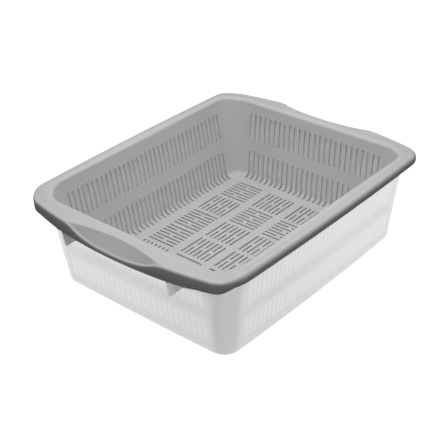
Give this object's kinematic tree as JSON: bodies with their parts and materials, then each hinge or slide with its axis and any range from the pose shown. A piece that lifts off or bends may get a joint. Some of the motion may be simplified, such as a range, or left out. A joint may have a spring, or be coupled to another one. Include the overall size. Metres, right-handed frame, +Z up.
{
  "type": "cheese mold",
  "caption": "Rectangular slotted draining basket with a wide skirted rim and finger scoops, hanging by the rim inside a tapered frosted tub.",
  "frame": {"origin": "centre of the tub's flat base, on the ground", "axes": "+X along the long side, +Y across to the other long side, +Z up out of the basket's mouth"},
  "size_m": [0.3642, 0.2928, 0.1092],
  "materials": {
    "grey_basket": "satin moulded polypropylene",
    "clear_tub": "frosted translucent moulded polypropylene"
  },
  "bodies": {
    "tub_body": {"tub": "clear_tub"},
    "basket_body": {"draining_basket": "grey_basket"}
  },
  "joints": [
    {"name": "basket_lift", "type": "slide", "parent": "tub_body", "child": "basket_body", "axis": [0, 0, 1], "range_m": [0, 0.15]}
  ]
}
